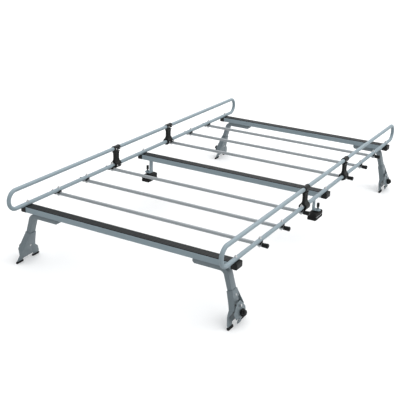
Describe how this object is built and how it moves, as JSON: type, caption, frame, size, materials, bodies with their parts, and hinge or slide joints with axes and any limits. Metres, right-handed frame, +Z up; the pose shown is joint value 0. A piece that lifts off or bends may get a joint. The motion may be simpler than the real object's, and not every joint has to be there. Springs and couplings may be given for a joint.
{
  "type": "ladder rack",
  "caption": "Roof rack with crossbars, rods and looped side rails on gutter clamps, for carrying ladders on a van.",
  "frame": {"origin": "middle of the rack, on the level of the undersides of the gutter shoes", "axes": "+X to the right across the van, +Y forward along the van, +Z up"},
  "size_m": [1.381, 2.4858, 0.4438],
  "materials": {
    "frame_paint": "satin silver-grey paint",
    "leg_paint": "satin grey paint, slightly darker",
    "satin_rod": "satin drawn tube",
    "zinc": "zinc plate",
    "strip_rubber": "ribbed, matt",
    "black_plastic": "moulded, fine grain",
    "black_rubber": "matt",
    "black_screw": "black oxide"
  },
  "bodies": {
    "frame": {"crossbar_rear": "frame_paint", "crossbar_middle": "frame_paint", "crossbar_front": "frame_paint", "rubber_strip_rear": "strip_rubber", "rubber_strip_middle": "strip_rubber", "rubber_strip_front": "strip_rubber", "bar_end_caps": "black_plastic", "rod_1": "satin_rod", "rod_2": "satin_rod", "rod_3": "satin_rod", "rod_4": "satin_rod", "rod_5": "satin_rod", "rod_6": "satin_rod", "rod_end_caps": "black_plastic", "rail_rear_left": "frame_paint", "rail_rear_right": "frame_paint", "rail_front_left": "frame_paint", "rail_front_right": "frame_paint", "rail_middle_left": "frame_paint", "rail_middle_right": "frame_paint", "joint_rear_left": "black_plastic", "joint_rear_right": "black_plastic", "joint_front_left": "black_plastic", "joint_front_right": "black_plastic", "joint_screws": "zinc", "rail_saddles": "black_plastic", "rail_bolts": "zinc", "rail_nuts": "zinc", "support_bracket_left": "frame_paint", "support_bracket_right": "frame_paint", "support_bolts": "zinc"},
    "leg_rear_left": {"leg_tube_rear_left": "leg_paint", "leg_bolts_rear_left": "zinc", "foot_bracket_rear_left": "leg_paint", "foot_shoes_rear_left": "black_rubber"},
    "clamp_rear_left": {"clamp_plate_rear_left": "leg_paint"},
    "knob_rear_left": {"clamp_knob_rear_left": "black_plastic"},
    "leg_rear_right": {"leg_tube_rear_right": "leg_paint", "leg_bolts_rear_right": "zinc", "foot_bracket_rear_right": "leg_paint", "foot_shoes_rear_right": "black_rubber"},
    "clamp_rear_right": {"clamp_plate_rear_right": "leg_paint"},
    "knob_rear_right": {"clamp_knob_rear_right": "black_plastic"},
    "leg_front_left": {"leg_tube_front_left": "leg_paint", "leg_bolts_front_left": "zinc", "foot_bracket_front_left": "leg_paint", "foot_shoes_front_left": "black_rubber"},
    "clamp_front_left": {"clamp_plate_front_left": "leg_paint"},
    "knob_front_left": {"clamp_knob_front_left": "black_plastic"},
    "leg_front_right": {"leg_tube_front_right": "leg_paint", "leg_bolts_front_right": "zinc", "foot_bracket_front_right": "leg_paint", "foot_shoes_front_right": "black_rubber"},
    "clamp_front_right": {"clamp_plate_front_right": "leg_paint"},
    "knob_front_right": {"clamp_knob_front_right": "black_plastic"},
    "pad_left": {"support_pad_left": "black_rubber"},
    "screw_left": {"support_screw_left": "black_screw"},
    "pad_right": {"support_pad_right": "black_rubber"},
    "screw_right": {"support_screw_right": "black_screw"}
  },
  "joints": [
    {"name": "leg_slide_rear_left", "type": "slide", "parent": "frame", "child": "leg_rear_left", "axis": [-1, 0, 0], "range_m": [-0.05, 0.03]},
    {"name": "clamp_slide_rear_left", "type": "slide", "parent": "leg_rear_left", "child": "clamp_rear_left", "axis": [0.9613, 0, -0.2756], "range_m": [-0.005, 0.005]},
    {"name": "knob_turn_rear_left", "type": "hinge", "parent": "clamp_rear_left", "child": "knob_rear_left", "pos_m": [-0.66888, -1.092, 0.06353], "axis": [0.9613, 0, -0.2756], "range_deg": [-1440, 1440]},
    {"name": "leg_slide_rear_right", "type": "slide", "parent": "frame", "child": "leg_rear_right", "axis": [1, 0, 0], "range_m": [-0.05, 0.03]},
    {"name": "clamp_slide_rear_right", "type": "slide", "parent": "leg_rear_right", "child": "clamp_rear_right", "axis": [-0.9613, 0, -0.2756], "range_m": [-0.005, 0.005]},
    {"name": "knob_turn_rear_right", "type": "hinge", "parent": "clamp_rear_right", "child": "knob_rear_right", "pos_m": [0.66888, -1.092, 0.06353], "axis": [-0.9613, 0, -0.2756], "range_deg": [-1440, 1440]},
    {"name": "leg_slide_front_left", "type": "slide", "parent": "frame", "child": "leg_front_left", "axis": [-1, 0, 0], "range_m": [-0.05, 0.03]},
    {"name": "clamp_slide_front_left", "type": "slide", "parent": "leg_front_left", "child": "clamp_front_left", "axis": [0.9613, 0, -0.2756], "range_m": [-0.005, 0.005]},
    {"name": "knob_turn_front_left", "type": "hinge", "parent": "clamp_front_left", "child": "knob_front_left", "pos_m": [-0.66888, 1.092, 0.06353], "axis": [0.9613, 0, -0.2756], "range_deg": [-1440, 1440]},
    {"name": "leg_slide_front_right", "type": "slide", "parent": "frame", "child": "leg_front_right", "axis": [1, 0, 0], "range_m": [-0.05, 0.03]},
    {"name": "clamp_slide_front_right", "type": "slide", "parent": "leg_front_right", "child": "clamp_front_right", "axis": [-0.9613, 0, -0.2756], "range_m": [-0.005, 0.005]},
    {"name": "knob_turn_front_right", "type": "hinge", "parent": "clamp_front_right", "child": "knob_front_right", "pos_m": [0.66888, 1.092, 0.06353], "axis": [-0.9613, 0, -0.2756], "range_deg": [-1440, 1440]},
    {"name": "pad_height_left", "type": "slide", "parent": "frame", "child": "pad_left", "axis": [0, 0, -1], "range_m": [-0.0035, 0.008]},
    {"name": "screw_turn_left", "type": "hinge", "parent": "pad_left", "child": "screw_left", "pos_m": [-0.586, 0, 0.18], "axis": [0, 0, -1], "range_deg": [-840, 1920]},
    {"name": "pad_height_right", "type": "slide", "parent": "frame", "child": "pad_right", "axis": [0, 0, -1], "range_m": [-0.0035, 0.008]},
    {"name": "screw_turn_right", "type": "hinge", "parent": "pad_right", "child": "screw_right", "pos_m": [0.586, 0, 0.18], "axis": [0, 0, -1], "range_deg": [-840, 1920]}
  ],
  "couplings": [
    {"joint": "knob_turn_rear_left", "follows": "clamp_slide_rear_left", "rad_per_m": 5026.5},
    {"joint": "knob_turn_rear_right", "follows": "clamp_slide_rear_right", "rad_per_m": 5026.5},
    {"joint": "knob_turn_front_left", "follows": "clamp_slide_front_left", "rad_per_m": 5026.5},
    {"joint": "knob_turn_front_right", "follows": "clamp_slide_front_right", "rad_per_m": 5026.5},
    {"joint": "screw_turn_left", "follows": "pad_height_left", "rad_per_m": 4188.8},
    {"joint": "screw_turn_right", "follows": "pad_height_right", "rad_per_m": 4188.8}
  ]
}
